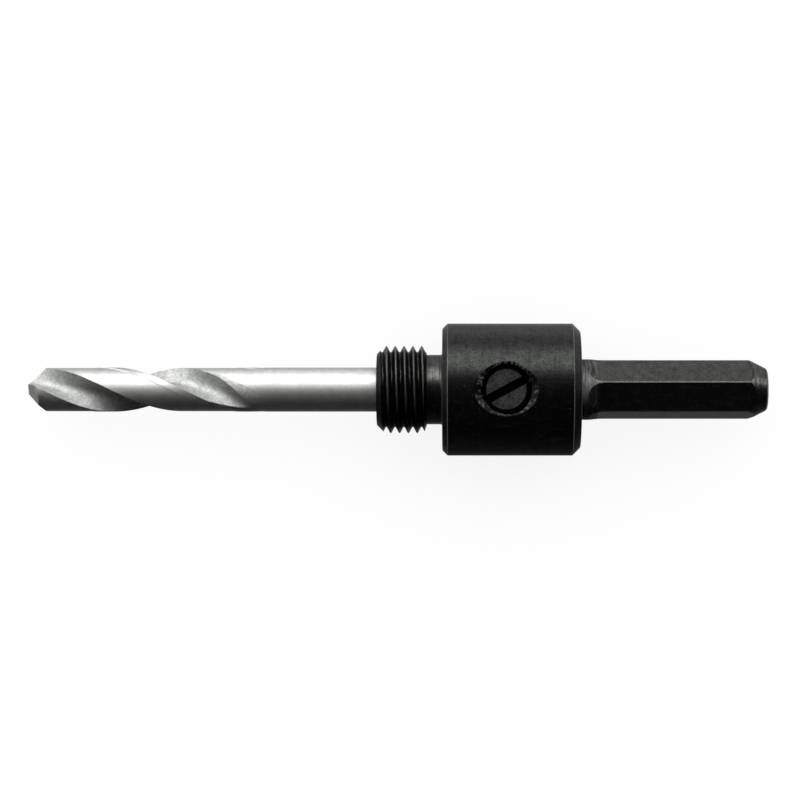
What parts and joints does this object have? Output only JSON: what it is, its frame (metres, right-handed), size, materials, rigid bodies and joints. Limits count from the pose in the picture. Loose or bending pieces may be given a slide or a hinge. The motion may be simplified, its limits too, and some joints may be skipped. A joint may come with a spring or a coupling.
{
  "type": "hole saw arbor",
  "caption": "Hole saw arbor with a threaded nose and collar, a hex drive shank, and a twist pilot drill clamped by a slotted set screw.",
  "frame": {"origin": "centre of the collar's seating face, on the arbor's axis", "axes": "+X along the axis from the seating face towards the hex shank, so the pilot drill points to -X; +Z through the set screw, out of the collar"},
  "size_m": [0.1063, 0.019, 0.019],
  "materials": {
    "black_oxide_steel": "black oxide over turned and milled steel, satin",
    "bright_steel": "bright, finely ground"
  },
  "bodies": {
    "arbor": {"arbor_body": "black_oxide_steel"},
    "drill": {"pilot_drill": "bright_steel"},
    "screw": {"set_screw": "black_oxide_steel"}
  },
  "joints": [
    {"name": "drill_slide", "type": "slide", "parent": "arbor", "child": "drill", "axis": [-1, 0, 0], "range_m": [0, 0.025]},
    {"name": "screw_slide", "type": "slide", "parent": "arbor", "child": "screw", "axis": [0, 0, 1], "range_m": [0, 0.0045]}
  ]
}
